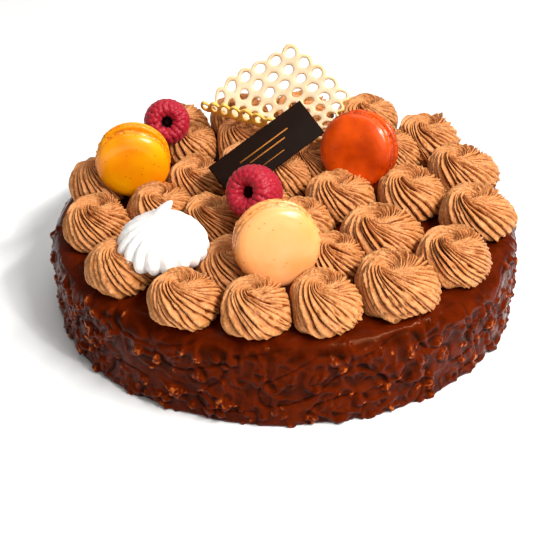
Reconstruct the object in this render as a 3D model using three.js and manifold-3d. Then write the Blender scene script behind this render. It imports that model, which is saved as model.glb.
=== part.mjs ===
// A round chocolate cake in a nut-studded glaze, covered with piped cream rosettes and topped with
// macarons, a meringue, raspberries, a bare plaque and a curled lattice wafer.
// Units are millimetres, +Z is up, and the origin is the middle of the cake's underside.
import * as THREE from 'three';
import { mergeVertices } from 'three/addons/utils/BufferGeometryUtils.js';
import Module from 'manifold-3d';

const wasm = await Module();
wasm.setup();

// ---- Driving sizes -------------------------------------------------------------------------------

// Clearance between pieces that touch, and the deeper one round the curled wafer.
const GAP = 0.3;
const WAFER_CLEARANCE = 0.8;

// The glazed cake: wall radius, height, rounding of the top edge, small chamfer at the foot.
const CAKE = { radius: 117, height: 44, edge: 9, foot: 1.5, sides: 60 };

// Chopped nuts under the glaze of the wall: half sizes along the wall and outwards, heights of the
// lowest and highest, how far a nut's middle may stand outside the wall, how uneven its corners are,
// and how far it strays sideways in radians.
const NUTS = {
  count: 56,
  seed: 41,
  halfWidth: [2.2, 3.8],
  halfHeight: [1.8, 3],
  halfDepth: 2.4,
  lowest: 4,
  highest: 39,
  outside: [0, 0.6],
  unevenness: [0.85, 1.15],
  stray: [-0.03, 0.03],
};

// Cream rosettes: ridges round each, their depth, and the share of radius, share of height and
// twist in degrees of every ring from the foot to the whirl.
const RIDGES = 10;
const RIDGE_DEPTH = 1.8;
const ROSETTE_RINGS = [[0.94, 0, 0], [1, 0.22, 8], [0.87, 0.8, 38], [0.4, 1, 84]];
const WHIRL_DEPTH = 0.08;

// The rosettes as piped by hand, ring by ring from the rim to the middle:
// bearing in degrees, distance from the cake's axis, radius, height.
const ROSETTES = {
  rim: [
    [-165, 95, 17.5, 19], [-140, 98, 16.5, 19.5], [-116, 102, 16.5, 19], [-97, 101, 16.5, 19],
    [-80, 98, 17, 19.5], [-59, 98, 19.5, 22], [-37, 98, 17.5, 21], [-10, 97, 18.5, 19.5],
    [16, 98, 18, 19.5], [38, 101, 17.5, 20], [62, 101, 17.5, 21], [83, 100, 17, 19],
    [104, 98, 17, 19], [125, 101, 17.5, 20], [147, 100, 17, 19], [168, 99, 16.5, 19],
  ],
  middle: [
    [2, 65, 17.5, 19], [-41, 62, 20, 20], [-70, 64, 15.5, 18], [-112, 69, 16, 18],
    [-142, 67, 16, 18], [-172, 62, 16.5, 18], [157, 49, 16, 18], [129, 80, 15.5, 18],
    [109, 68, 16, 19], [74, 68, 16.5, 19], [40, 77, 16, 19],
  ],
  inner: [
    [2, 29, 18, 19], [-70, 27, 15, 17.5], [-150, 41, 15.5, 17.5], [-160, 12, 14, 17],
    [88, 24, 15, 17.5], [64, 40, 16, 18.5], [118, 43, 14, 17.5],
  ],
};

// Macarons, stood on edge in the cream: centre, radius, bearing and tilt of the face in degrees.
const MACARONS = {
  macaron_yellow: { at: [-4, -72, 68.6], radius: 19.8, yaw: 8, tilt: 12, colour: '#f6c67c' },
  macaron_orange: { at: [-76, 12, 68], radius: 19, yaw: 2, tilt: 0, colour: '#f59100' },
  macaron_rust: { at: [38.6, 20, 68.7], radius: 20, yaw: -25, tilt: 13, colour: '#d9500c' },
};
const MACARON_SIDES = 20;
const FILLING = { radius: 17.2, thickness: 2.4 };
const RUFFLE_DEPTH = 0.5;
// Share of radius and height above the filling of every ring of a shell; the second is the ruffle.
const SHELL_RINGS = [[0.93, 0], [0.95, 2], [0.995, 3], [0.97, 5.6], [0.78, 7.8]];
const SHELL_HEIGHT = 8.6;

// The meringue: middle of its foot, radius, height, lean along X of its neck and of its tip, lobes
// and their depth, and the share of the radius below which the lobes fade out.
const MERINGUE = {
  at: [-56, -58, 55.5],
  radius: 22,
  height: 29,
  lean: 3.5,
  tipLean: 5.25,
  lobes: 13,
  lobeDepth: 2.2,
  fadeBelow: 0.67,
};
// Share of radius, share of height, twist in degrees.
const MERINGUE_RINGS = [[0.84, 0, 0], [1, 0.2, 6], [0.9, 0.42, 14], [0.5, 0.66, 26], [0.16, 0.84, 40]];

// Raspberries: middle of the open end, its facing direction, radius and length.
const RASPBERRIES = {
  raspberry_back: { at: [-61.7, 49.8, 71], facing: [0.09, -0.9, 0.42], radius: 12, length: 20 },
  raspberry_front: { at: [-18.5, -38.7, 76.6], facing: [-0.5, -0.72, 0.46], radius: 13, length: 23 },
};
const DRUPELETS = 8;
const DRUPELET_BULGE = 0.9;
// Share of radius and of length of the rings from the closed tip to the rim.
const RASPBERRY_RINGS = [[0.45, 0.06], [0.74, 0.2], [0.92, 0.38], [1, 0.56], [0.98, 0.74], [0.84, 0.92]];
// Its hollow: shares of the radius at the mouth and the floor, share of the length that it takes, how
// far the mouth sinks below the rim, and the depth of the floor's point.
const RASPBERRY_HOLLOW = { mouth: 0.38, floor: 0.26, depth: 0.6, sink: 0.5, point: 1 };

// The bare plaque of dark chocolate: size, middle, and its yaw, tilt and roll in degrees.
const PLAQUE = { size: [58, 20.4, 1.6], at: [-8.4, 6.2, 75.6], yaw: 10, tilt: 40, roll: 31 };

// The lattice wafer: thickness, rows of holes, holes in the first row, the rows that grow by one
// hole, the share of a cell that its hole takes, and three guide curves from the far edge through
// the trough to the near lip.
const WAFER = { thickness: 1.8, rows: 8, firstRow: 5, growingRows: 5, hole: 0.6 };
const WAFER_GUIDES = [
  [[6, 82, 102], [-7, 80.4, 94.6], [-21, 78.8, 88], [-33, 75, 80.6], [-41, 67, 70.4], [-46, 57, 79.6]],
  [[22, 70, 93], [13, 66.8, 85], [4, 63, 77], [-4, 59, 68.4], [-12.6, 55, 65.8], [-18.4, 49.5, 77.5]],
  [[36, 58, 82], [31, 52.3, 74.7], [27, 48.4, 69.3], [23.5, 45, 65.6], [21, 41, 63.8], [18.6, 36.6, 66.2]],
];

// Grid of the bed that the wafer presses into the cream, and its margin at both sides, as a share.
const WAFER_BED = { across: 8, along: 20, margin: 0.015 };

// Colour and roughness of each material.
const FINISHES = {
  glaze: ['#4f2011', 0.3],
  cream: ['#b98150', 0.65],
  meringue: ['#fbf8f4', 0.75],
  raspberry: ['#b0213f', 0.6],
  plaque: ['#2a1a14', 0.35],
  wafer: ['#f3dfae', 0.55],
};
const SHELL_ROUGHNESS = 0.5;
const FILLING_ROUGHNESS = 0.7;

// ---- Helpers -------------------------------------------------------------------------------------

const UP = new THREE.Vector3(0, 0, 1);
const radians = THREE.MathUtils.degToRad;

function polar(bearing, distance, z = 0) {
  return new THREE.Vector3(distance * Math.cos(bearing), distance * Math.sin(bearing), z);
}

// Unit vector that faces the front (-Y), turned by yaw towards +X and raised by tilt.
function facing(yaw, tilt) {
  const level = polar(radians(yaw - 90), Math.cos(radians(tilt)));
  return level.setZ(Math.sin(radians(tilt)));
}

// Repeatable random numbers between two bounds.
function randomSource(seed) {
  const [step, limit] = [16807, 2147483647];
  let state = seed;
  return ([low, high]) => {
    state = (state * step) % limit;
    return low + ((high - low) * state) / limit;
  };
}

function surface(points, faces) {
  const geometry = new THREE.BufferGeometry().setFromPoints(points);
  geometry.setIndex(faces);
  return geometry;
}

// Closed surface through rings of points listed upwards; a ring of one point closes an end.
function loft(rings) {
  const faces = [];
  let first = 0;
  for (let i = 0; i + 1 < rings.length; i += 1) {
    const [low, high] = [rings[i], rings[i + 1]];
    const next = first + low.length;
    for (let k = 0; k < Math.max(low.length, high.length); k += 1) {
      const a = first + (k % low.length);
      const b = first + ((k + 1) % low.length);
      const c = next + ((k + 1) % high.length);
      const d = next + (k % high.length);
      if (a !== b) faces.push(a, b, c);
      if (c !== d) faces.push(a, c, d);
    }
    first = next;
  }
  return surface(rings.flat(), faces);
}

function ring(count, pointAt) {
  return Array.from({ length: count }, (_, k) => pointAt((2 * Math.PI * k) / count, k));
}

// Positions only, with shared corners, as joining and cutting need.
function welded(geometry) {
  const bare = geometry.clone();
  bare.deleteAttribute('normal');
  bare.deleteAttribute('uv');
  return mergeVertices(bare);
}

function toSolid(geometry) {
  return new wasm.Manifold(new wasm.Mesh({
    numProp: 3,
    vertProperties: new Float32Array(geometry.attributes.position.array),
    triVerts: new Uint32Array(geometry.index.array),
  }));
}

function toGeometry(solid) {
  const mesh = solid.getMesh();
  const geometry = new THREE.BufferGeometry();
  geometry.setAttribute('position', new THREE.BufferAttribute(mesh.vertProperties, 3));
  geometry.setIndex(new THREE.BufferAttribute(mesh.triVerts, 1));
  return geometry;
}

function meshOf(name, geometry, [color, roughness]) {
  geometry.computeVertexNormals();
  const material = new THREE.MeshStandardMaterial({ color, roughness, metalness: 0 });
  const mesh = new THREE.Mesh(geometry, material);
  mesh.name = name;
  return mesh;
}

// The geometry of an object's child shape in the cake's frame, for cutting beds in the cream.
function inCakeFrame(geometry, object) {
  object.updateMatrixWorld(true);
  return geometry.clone().applyMatrix4(object.matrixWorld);
}

// ---- Cake body -----------------------------------------------------------------------------------

function cakeBody() {
  const { radius, height, edge, foot, sides } = CAKE;
  const profile = [[radius - foot, 0], [radius, foot]];
  for (const angle of [0, 30, 60, 90]) {
    const inset = edge * (1 - Math.cos(radians(angle)));
    profile.push([radius - inset, height - edge + edge * Math.sin(radians(angle))]);
  }
  const rings = profile.map(([r, z]) => ring(sides, (bearing) => polar(bearing, r, z)));
  return loft([[new THREE.Vector3()], ...rings, [new THREE.Vector3(0, 0, height)]]);
}

// Radius of the glazed wall at a height.
function wallRadius(z) {
  const rise = Math.max(0, z - (CAKE.height - CAKE.edge));
  return CAKE.radius - CAKE.edge + Math.sqrt(CAKE.edge ** 2 - rise ** 2);
}

// One angular nut lump, uneven in size and turned at random, half sunk in the wall.
function nut(bearing, z, random) {
  const geometry = welded(new THREE.IcosahedronGeometry(1, 0));
  const corners = geometry.attributes.position;
  const corner = new THREE.Vector3();
  for (let i = 0; i < corners.count; i += 1) {
    corner.fromBufferAttribute(corners, i).multiplyScalar(random(NUTS.unevenness));
    corners.setXYZ(i, ...corner);
  }
  const fullTurn = [0, 2 * Math.PI];
  geometry.rotateX(random(fullTurn));
  geometry.rotateZ(random(fullTurn));
  geometry.scale(NUTS.halfDepth, random(NUTS.halfWidth), random(NUTS.halfHeight));
  geometry.translate(wallRadius(z) + random(NUTS.outside), 0, z);
  return geometry.rotateZ(bearing);
}

function gluedNuts() {
  const random = randomSource(NUTS.seed);
  const goldenAngle = Math.PI * (3 - Math.sqrt(5));
  const span = NUTS.highest - NUTS.lowest;
  return Array.from({ length: NUTS.count }, (_, i) => {
    const bearing = i * goldenAngle + random(NUTS.stray);
    const z = NUTS.lowest + (span * random([i, i + 1])) / NUTS.count;
    return toSolid(nut(bearing, z, random));
  });
}

const glazedCake = wasm.Manifold.union([toSolid(cakeBody()), ...gluedNuts()]);

// ---- Toppings ------------------------------------------------------------------------------------

const toppings = new THREE.Group();
const beds = [];

// One shell of a macaron: flat back on the filling, ruffled foot, domed face along +Z.
function shellGeometry(radius) {
  const base = FILLING.thickness / 2 + GAP;
  const rings = SHELL_RINGS.map(([share, z], i) => ring(MACARON_SIDES, (bearing, k) => {
    const ruffle = i === 1 && k % 2 ? RUFFLE_DEPTH : 0;
    return polar(bearing, radius * share + ruffle, base + z);
  }));
  return loft([[new THREE.Vector3(0, 0, base)], ...rings, [new THREE.Vector3(0, 0, base + SHELL_HEIGHT)]]);
}

// The whole macaron's outline without its waist, grown a little: what it presses out of the cream.
function macaronEnvelope(radius) {
  const base = FILLING.thickness / 2 + GAP;
  const [side, brow] = SHELL_RINGS.slice(-2);
  const outline = [[1, base + side[1]], [brow[0], base + brow[1] + GAP]];
  const levels = [...outline.map(([share, z]) => [share, -z]).reverse(), ...outline];
  const rings = levels.map(([share, z]) => ring(MACARON_SIDES, (bearing) => (
    polar(bearing, radius * share + GAP, z)
  )));
  const face = base + SHELL_HEIGHT + GAP;
  return loft([[new THREE.Vector3(0, 0, -face)], ...rings, [new THREE.Vector3(0, 0, face)]]);
}

function macaron(name, { at, radius, yaw, tilt, colour }) {
  const group = new THREE.Group();
  group.position.set(...at);
  group.quaternion.setFromUnitVectors(UP, facing(yaw, tilt));
  const front = meshOf(`${name}_front`, shellGeometry(radius), [colour, SHELL_ROUGHNESS]);
  const back = meshOf(`${name}_back`, shellGeometry(radius), [colour, SHELL_ROUGHNESS]);
  back.rotation.x = Math.PI;
  const { radius: reach, thickness } = FILLING;
  const disc = welded(new THREE.CylinderGeometry(reach, reach, thickness, MACARON_SIDES));
  const filling = meshOf(`${name}_filling`, disc.rotateX(Math.PI / 2), [colour, FILLING_ROUGHNESS]);
  group.add(front, filling, back);
  toppings.add(group);
  beds.push(inCakeFrame(macaronEnvelope(radius), group));
}

// Lobed drop with a leaning, pointed tip.
function meringueGeometry(grow = 0) {
  const { radius, height, lean, tipLean, lobes, lobeDepth, fadeBelow } = MERINGUE;
  const rings = MERINGUE_RINGS.map(([share, rise, turn]) => ring(2 * lobes, (bearing, k) => {
    const lobe = (k % 2 ? -0.5 : 0.5) * lobeDepth * Math.min(1, share / fadeBelow);
    const point = polar(bearing + radians(turn), radius * share + lobe + grow, height * rise);
    point.x += lean * rise ** 3;
    point.z += rise > 0 ? grow : -grow;
    return point;
  }));
  const foot = new THREE.Vector3(0, 0, -grow);
  const tip = new THREE.Vector3(tipLean, 0, height + grow);
  return loft([[foot], ...rings, [tip]]);
}

function meringue() {
  const drop = meshOf('meringue', meringueGeometry(), FINISHES.meringue);
  drop.position.set(...MERINGUE.at);
  toppings.add(drop);
  beds.push(inCakeFrame(meringueGeometry(GAP), drop));
}

// Berry with its open end at the origin facing +Z; drupelets bulge in a staggered pattern.
function raspberryRings(radius, length, grow) {
  const rings = RASPBERRY_RINGS.map(([share, along], i) => ring(2 * DRUPELETS, (bearing, k) => {
    const bulge = ((k + i) % 2 ? -0.5 : 0.5) * DRUPELET_BULGE;
    return polar(bearing, radius * share + bulge + grow, length * (along - 1));
  }));
  return [[new THREE.Vector3(0, 0, -length - grow)], ...rings];
}

function raspberryGeometry({ radius, length }) {
  const { mouth, floor, depth, sink, point } = RASPBERRY_HOLLOW;
  const inner = [[mouth, -sink], [floor, -length * depth]].map(([share, z]) => (
    ring(2 * DRUPELETS, (bearing) => polar(bearing, radius * share, z))
  ));
  const bottom = new THREE.Vector3(0, 0, -length * depth - point);
  return loft([...raspberryRings(radius, length, 0), ...inner, [bottom]]);
}

function raspberry(name, berry) {
  const mesh = meshOf(name, raspberryGeometry(berry), FINISHES.raspberry);
  mesh.position.set(...berry.at);
  mesh.quaternion.setFromUnitVectors(UP, new THREE.Vector3(...berry.facing).normalize());
  toppings.add(mesh);
  const { radius, length } = berry;
  const outline = loft([...raspberryRings(radius, length, GAP), [new THREE.Vector3(0, 0, GAP)]]);
  beds.push(inCakeFrame(outline, mesh));
}

function plaque() {
  const { size, at, yaw, tilt, roll } = PLAQUE;
  const mesh = meshOf('plaque', welded(new THREE.BoxGeometry(...size)), FINISHES.plaque);
  const normal = facing(yaw, tilt);
  const level = polar(radians(yaw), 1);
  const rise = normal.clone().cross(level);
  mesh.quaternion.setFromRotationMatrix(new THREE.Matrix4().makeBasis(level, rise, normal));
  mesh.rotateZ(radians(roll));
  mesh.position.set(...at);
  toppings.add(mesh);
  const grown = size.map((side) => side + 2 * GAP);
  beds.push(inCakeFrame(welded(new THREE.BoxGeometry(...grown)), mesh));
}

// ---- Lattice wafer -------------------------------------------------------------------------------

const guides = WAFER_GUIDES.map((points) => (
  new THREE.CatmullRomCurve3(points.map((point) => new THREE.Vector3(...point)))
));

// Point of the curled sheet: u runs along the far edge, v from the far edge to the near lip.
function sheetPoint(u, v) {
  const weights = [(1 - u) * (1 - 2 * u), 4 * u * (1 - u), u * (2 * u - 1)];
  const point = new THREE.Vector3();
  guides.forEach((guide, i) => point.addScaledVector(guide.getPoint(v), weights[i]));
  return point;
}

function sheetNormal(u, v) {
  const step = 0.01;
  const [u0, v0] = [Math.min(u, 1 - step), Math.min(v, 1 - step)];
  const here = sheetPoint(u0, v0);
  const alongU = sheetPoint(u0 + step, v0).sub(here);
  const alongV = sheetPoint(u0, v0 + step).sub(here);
  return alongU.cross(alongV).normalize();
}

// Front and back points of the sheet at (u, v).
function sheetPair(u, v, thickness) {
  const offset = sheetNormal(u, v).multiplyScalar(thickness / 2);
  const middle = sheetPoint(u, v);
  return [middle.clone().add(offset), middle.clone().sub(offset)];
}

// Place on the sheet of a corner of the hexagon pattern: x in half cells, y in rows. Rows grow at
// both ends until the last ones, which keep their length and shift sideways.
function patternPair(x, y) {
  const { rows, firstRow, growingRows, thickness } = WAFER;
  const left = -1 - y;
  const right = 2 * firstRow - 1 + (y < growingRows ? y : 2 * growingRows - y);
  const v = (y + 2 / 3) / (rows + 1 / 3);
  return sheetPair((x - left) / (right - left), v, thickness);
}

// Corners of a hexagonal cell, as steps of half cells and thirds of rows from its middle.
const HEXAGON = [[0, -2], [1, -1], [1, 1], [0, 2], [-1, 1], [-1, -1]];

function waferGeometry() {
  const points = [];
  const faces = [];
  const corners = new Map();
  const edges = new Map();
  const addPair = (pair) => points.push(...pair) - 2;
  const wall = (a, b) => faces.push(a, b, b + 1, a, b + 1, a + 1);

  for (let row = 0; row < WAFER.rows; row += 1) {
    const cells = WAFER.firstRow + Math.min(row, WAFER.growingRows);
    for (let cell = 0; cell < cells; cell += 1) {
      const x = 2 * cell - row;
      const middle = patternPair(x, row);
      const outer = HEXAGON.map(([dx, dy]) => {
        const key = `${x + dx},${3 * row + dy}`;
        if (!corners.has(key)) corners.set(key, addPair(patternPair(x + dx, row + dy / 3)));
        return corners.get(key);
      });
      const hole = outer.map((corner) => addPair(middle.map((point, side) => (
        point.clone().lerp(points[corner + side], WAFER.hole)
      ))));
      for (let k = 0; k < 6; k += 1) {
        const n = (k + 1) % 6;
        faces.push(outer[k], hole[n], hole[k], outer[k], outer[n], hole[n]);
        faces.push(outer[k] + 1, hole[k] + 1, hole[n] + 1, outer[k] + 1, hole[n] + 1, outer[n] + 1);
        wall(hole[k], hole[n]);
        const shared = edges.delete(`${outer[n]},${outer[k]}`);
        if (!shared) edges.set(`${outer[k]},${outer[n]}`, [outer[n], outer[k]]);
      }
    }
  }
  edges.forEach(([a, b]) => wall(a, b));
  return surface(points, faces);
}

// The same sheet without holes and thicker: what it presses out of the cream.
function waferEnvelope() {
  const { across, along, margin } = WAFER_BED;
  const thickness = WAFER.thickness + 2 * WAFER_CLEARANCE;
  const points = [];
  const faces = [];
  for (let j = 0; j <= along; j += 1) {
    for (let i = 0; i <= across; i += 1) {
      const [u, v] = [i / across, j / along];
      points.push(...sheetPair(u * (1 + 2 * margin) - margin, v, thickness));
    }
  }
  const at = (i, j) => 2 * (j * (across + 1) + i);
  const quad = (a, b, c, d) => faces.push(a, b, c, a, c, d);
  for (let j = 0; j < along; j += 1) {
    for (let i = 0; i < across; i += 1) {
      const [a, b, c, d] = [at(i, j), at(i + 1, j), at(i + 1, j + 1), at(i, j + 1)];
      quad(a, b, c, d);
      quad(d + 1, c + 1, b + 1, a + 1);
    }
    quad(at(0, j + 1), at(0, j + 1) + 1, at(0, j) + 1, at(0, j));
    quad(at(across, j), at(across, j) + 1, at(across, j + 1) + 1, at(across, j + 1));
  }
  for (let i = 0; i < across; i += 1) {
    quad(at(i, 0), at(i, 0) + 1, at(i + 1, 0) + 1, at(i + 1, 0));
    quad(at(i + 1, along), at(i + 1, along) + 1, at(i, along) + 1, at(i, along));
  }
  return surface(points, faces);
}

function wafer() {
  toppings.add(meshOf('lattice_wafer', waferGeometry(), FINISHES.wafer));
  beds.push(waferEnvelope());
}

Object.entries(MACARONS).forEach(([name, entry]) => macaron(name, entry));
meringue();
Object.entries(RASPBERRIES).forEach(([name, berry]) => raspberry(name, berry));
plaque();
wafer();

// ---- Cream rosettes ------------------------------------------------------------------------------

const rosettes = Object.entries(ROSETTES).flatMap(([place, list]) => (
  list.map(([bearing, distance, radius, height], i) => ({
    name: `rosette_${place}_${String(i + 1).padStart(2, '0')}`,
    middle: polar(radians(bearing), distance, CAKE.height + GAP),
    radius,
    height,
  }))
));

// Neighbours that press against a rosette: their direction, and the distance of the flat between.
function neighboursOf(rosette) {
  return rosettes.filter((other) => other !== rosette).map((other) => {
    const across = other.middle.clone().sub(rosette.middle);
    const span = across.length();
    const flat = (span ** 2 + rosette.radius ** 2 - other.radius ** 2) / (2 * span) - GAP / 2;
    return { direction: Math.atan2(across.y, across.x), flat };
  });
}

// Distance from the rosette's middle to where the flat top of the cake ends, along a bearing.
function toTopEdge(middle, bearing) {
  const edge = CAKE.radius - CAKE.edge;
  const along = middle.x * Math.cos(bearing) + middle.y * Math.sin(bearing);
  return Math.sqrt(along ** 2 - middle.x ** 2 - middle.y ** 2 + edge ** 2) - along;
}

function rosetteGeometry(rosette) {
  const { middle, radius, height } = rosette;
  const neighbours = neighboursOf(rosette);
  const rings = ROSETTE_RINGS.map(([share, rise, turn], i) => ring(2 * RIDGES, (step, k) => {
    const bearing = step - radians(turn);
    const ridge = (k % 2 ? -0.5 : 0.5) * RIDGE_DEPTH;
    let reach = radius * share + ridge;
    if (i === 0) reach = Math.min(reach, toTopEdge(middle, bearing));
    for (const { direction, flat } of neighbours) {
      const lean = Math.cos(bearing - direction);
      if (lean > 0) reach = Math.min(reach, flat / lean);
    }
    const z = height * rise + (rise === 1 ? ridge / 2 : 0);
    return polar(bearing, reach, z).add(middle);
  }));
  const whirl = middle.clone().setZ(middle.z + height * (1 - WHIRL_DEPTH));
  return loft([[middle.clone()], ...rings, [whirl]]);
}

const bedSolids = beds.map((bed) => toSolid(bed));

// A rosette with the toppings' beds pressed into it, without the scraps that cutting leaves.
function creamRosette(rosette) {
  const cut = wasm.Manifold.difference([toSolid(rosetteGeometry(rosette)), ...bedSolids]);
  const pieces = cut.decompose().sort((a, b) => b.volume() - a.volume());
  const { x, y, z } = rosette.middle;
  const mesh = meshOf(rosette.name, toGeometry(pieces[0]).translate(-x, -y, -z), FINISHES.cream);
  mesh.position.copy(rosette.middle);
  return mesh;
}

// ---- The cake ------------------------------------------------------------------------------------

const cake = new THREE.Group();
cake.add(meshOf('cake_body', toGeometry(glazedCake), FINISHES.glaze));
rosettes.forEach((rosette) => cake.add(creamRosette(rosette)));
cake.add(toppings);

export default cake;
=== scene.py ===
import math

import bmesh
import bpy
import numpy as np
from mathutils import Matrix, Vector
from mathutils.bvhtree import BVHTree


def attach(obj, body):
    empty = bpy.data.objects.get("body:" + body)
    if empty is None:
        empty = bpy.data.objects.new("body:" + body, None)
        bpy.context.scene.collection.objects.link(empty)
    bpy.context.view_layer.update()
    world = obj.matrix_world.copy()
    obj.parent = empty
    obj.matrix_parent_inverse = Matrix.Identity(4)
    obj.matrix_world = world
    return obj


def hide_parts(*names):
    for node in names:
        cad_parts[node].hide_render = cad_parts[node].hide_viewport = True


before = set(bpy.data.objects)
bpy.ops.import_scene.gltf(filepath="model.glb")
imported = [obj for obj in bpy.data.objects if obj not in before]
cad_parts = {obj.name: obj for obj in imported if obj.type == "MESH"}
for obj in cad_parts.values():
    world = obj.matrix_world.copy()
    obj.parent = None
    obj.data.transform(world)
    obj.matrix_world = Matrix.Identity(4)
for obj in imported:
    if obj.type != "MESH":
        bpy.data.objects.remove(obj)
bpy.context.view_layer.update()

# ---- Glazed cake ---------------------------------------------------------------------------------
# A round layer cake, 234 mm across, coated in poured chocolate glaze. Chopped nuts are stirred into
# the glaze, so the wall is lumpy: thin glaze over each nut, and folds where the coat ran down.

MM = 0.001
TURN = 2 * math.pi
CAKE_RADIUS = 117
CAKE_HEIGHT = 44
EDGE = 9
BODY_SIDES = 1080
bearing = np.arange(BODY_SIDES) * TURN / BODY_SIDES
# Outline of the cake from the foot up the wall, over the round edge and in over the flat top.
wall = [(CAKE_RADIUS - 1.5, 0), (CAKE_RADIUS - 0.375, 0.5), (CAKE_RADIUS, 1.5)]
wall += [(CAKE_RADIUS, z) for z in np.linspace(2.2, CAKE_HEIGHT - EDGE, 58)]
for angle in np.linspace(5, 90, 16):
    turn = math.radians(angle)
    wall.append((CAKE_RADIUS - EDGE * (1 - math.cos(turn)), CAKE_HEIGHT - EDGE * (1 - math.sin(turn))))
wall += [(r, CAKE_HEIGHT) for r in (106, 104, 101, 97, 90, 76, 56, 34)]
wall = np.array(wall)
slope = np.gradient(wall, axis=0)
outward = np.stack([slope[:, 1], -slope[:, 0]], 1) / np.linalg.norm(slope, axis=1)[:, None]


def run_along(points):
    """How far along a line each of its points lies."""
    return np.concatenate([[0], np.cumsum(np.linalg.norm(np.diff(points, axis=0), axis=1))])


along = run_along(wall)


def waves(rng, coordinates, length, count=6):
    """Smooth uneven field of about -1 to 1, made of waves of about that length in every direction."""
    field = 0
    for _ in range(count):
        direction = rng.normal(size=len(coordinates))
        direction *= TURN / length * rng.uniform(0.7, 1.4) / np.linalg.norm(direction)
        phase = rng.uniform(0, TURN)
        field = field + np.sin(sum(d * c for d, c in zip(direction, coordinates)) + phase)
    return field / math.sqrt(count)


# Chopped nuts under the glaze. Each is an uneven six-sided lump, from 2 to 7 mm across. Nearly all sit
# on the wall, which ends NUT_BAND up the outline, and a few on the rim.
NUTS = 600
NUT_BAND = 37
RIM_BAND = 52
NUT_REACH = 5
rng = np.random.default_rng(7)
on_wall = (CAKE_RADIUS * np.cos(bearing)[None], CAKE_RADIUS * np.sin(bearing)[None])
grit = waves(rng, (*on_wall, along[:, None] * 1.1), 4.2, 12)
lump_rise = np.zeros((len(wall), BODY_SIDES))
thin_glaze = np.zeros((len(wall), BODY_SIDES))
for _ in range(NUTS):
    at_bearing = rng.uniform(0, TURN)
    at_along = rng.uniform(0, NUT_BAND) if rng.random() < 0.95 else rng.uniform(NUT_BAND, RIM_BAND)
    half = (0.9 + 2.6 * rng.beta(1.6, 2.4)) * np.array([1, rng.uniform(0.55, 1)])
    rise = rng.uniform(0.5, 0.9) * half[1] + 0.2
    tilt = rng.uniform(0, math.pi)
    sides = rng.uniform(0, TURN, 6)
    reach = rng.uniform(0.7, 1.1, 6)
    step = (bearing - at_bearing + math.pi) % TURN - math.pi
    columns = np.nonzero(np.abs(step) * CAKE_RADIUS < NUT_REACH)[0]
    rows = np.nonzero(np.abs(along - at_along) < NUT_REACH)[0]
    window = np.ix_(rows, columns)
    across = step[columns][None, :] * CAKE_RADIUS
    up = (along[rows] - at_along)[:, None]
    x = (across * math.cos(tilt) + up * math.sin(tilt)) / half[0]
    y = (-across * math.sin(tilt) + up * math.cos(tilt)) / half[1]
    flat = 0
    for side, distance in zip(sides, reach):
        flat = flat + np.maximum(0, (x * math.cos(side) + y * math.sin(side)) / distance) ** 6
    # From 0 at the middle of the nut to 1 at its edge: partly round, mostly flat-sided, and gritty.
    near = (x * x + y * y) * 0.25 + 0.75 * flat ** (1 / 3) + 0.2 * grit[window]
    near = np.clip(near, 0, 1)
    lump_rise[window] = np.maximum(lump_rise[window], rise * (1 - near) ** 0.5)
    # Spots where the caramel of a nut shows through thin glaze, also painted bright as glints.
    if rng.random() < 0.6:
        thin_glaze[window] = np.maximum(thin_glaze[window], (1 - near) ** 0.7 * rng.uniform(0.5, 1.1))

# The coat itself: slow swells, ropes where it ran together, and creases between them, in mm. The
# lengths are those of the swells and of the ropes' bends. They are stretched along or round the wall.
coat = 0.4 * waves(rng, (*on_wall, along[:, None] * 1.2), 26, 8) - 0.35
coat += 0.22 * waves(rng, (*on_wall, along[:, None] * 0.8), 9, 10)
for length, thickness, height in ((15, 0.34, 1.1), (10, 0.36, 0.8)):
    ropes = waves(rng, (*on_wall, along[:, None] * 1.05), length, 9)
    strength = 0.4 + 0.7 * waves(rng, (*on_wall, along[:, None]), 26, 6)
    coat += height * np.exp(-(ropes / thickness) ** 2) * np.clip(strength, 0, 1)
creases = waves(rng, (*on_wall, along[:, None] * 1.7), 34, 7)
coat -= 0.7 * np.exp(-(creases / 0.12) ** 2)
coat += 0.05 * waves(rng, (*on_wall, along[:, None]), 3, 12)


def fading(until, over=6):
    """From 1 on the wall down to 0 at that length up the outline, over a number of mm."""
    return np.clip((until - along) / over, 0, 1)[:, None]


# The coat is thin at the foot, and nearly smooth from the rim inwards. The top is flat. No lump
# stands out further than MOST, so that all of them stay within the size of the solid part.
MOST = 2.25
foot_calm = np.clip((along + 7) / 8, 0, 1)[:, None]
push = foot_calm * (coat * (0.18 + 0.82 * fading(44)) + lump_rise * fading(54))
push = np.minimum(push, MOST) * fading(60)


def polar(radius, bearing, z):
    """Points at that distance and bearing from the middle, at height z."""
    return np.stack(np.broadcast_arrays(radius * np.cos(bearing), radius * np.sin(bearing), z), -1)


body_rings = polar(
    wall[:, :1] + push * outward[:, :1],
    bearing[None, :],
    np.maximum(wall[:, 1:] + push * outward[:, 1:], 0),
)

# Places that lie below what is round them or face down, where light is dim. The glaze colour is
# painted darker there as shade.
HOLLOW_PASSES = 30
level = push
for _ in range(HOLLOW_PASSES):
    level = (level + np.roll(level, 1, 1) + np.roll(level, -1, 1)) / 3
    level[1:-1] = (level[:-2] + level[1:-1] + level[2:]) / 3
overhang = np.gradient(push, axis=0) / np.gradient(along)[:, None]
for _ in range(3):
    overhang[1:-1] = (overhang[:-2] + overhang[1:-1] + overhang[2:]) / 3
recess = np.clip(0.8 * overhang + (level - push) * 0.7 + 0.12, 0, 1)


def linear(colour):
    """An sRGB hex colour as linear red, green, blue and alpha."""
    parts = [int(colour[i:i + 2], 16) / 255 for i in (1, 3, 5)]
    return [p / 12.92 if p <= 0.04045 else ((p + 0.055) / 1.055) ** 2.4 for p in parts] + [1]


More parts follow.
